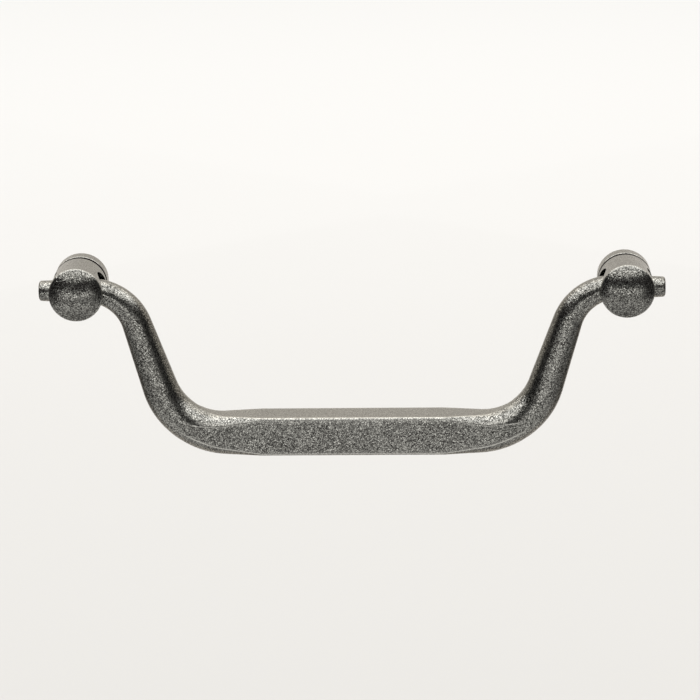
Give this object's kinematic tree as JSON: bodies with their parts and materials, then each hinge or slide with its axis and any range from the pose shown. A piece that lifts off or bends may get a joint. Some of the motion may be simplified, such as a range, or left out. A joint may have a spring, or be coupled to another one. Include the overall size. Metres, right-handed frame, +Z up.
{
  "type": "bail pull",
  "caption": "Drawer pull with a swinging bail: a faceted grip on bent round arms that hang in domed posts with base rings, fixed by screws from behind.",
  "frame": {"origin": "midway between the two screw holes, on the drawer front that the posts and rings sit against", "axes": "+X to the right along the line of the posts, +Z up, and +Y into the drawer front, so the pull faces -Y"},
  "size_m": [0.146, 0.0174, 0.046],
  "materials": {
    "bail_iron": "dark iron grey, fine cast grain under a satin lacquer, bright at the edges",
    "post_iron": "dark iron grey, fine cast grain under a satin lacquer, smooth turned sides"
  },
  "bodies": {
    "posts": {"left_post": "post_iron", "right_post": "post_iron", "left_base_ring": "post_iron", "right_base_ring": "post_iron"},
    "bail": {"bail": "bail_iron"}
  },
  "joints": [
    {"name": "bail_swing", "type": "hinge", "parent": "posts", "child": "bail", "pos_m": [0, -0.01005, -0.0002], "axis": [-1, 0, 0], "range_deg": [-8, 188]}
  ]
}
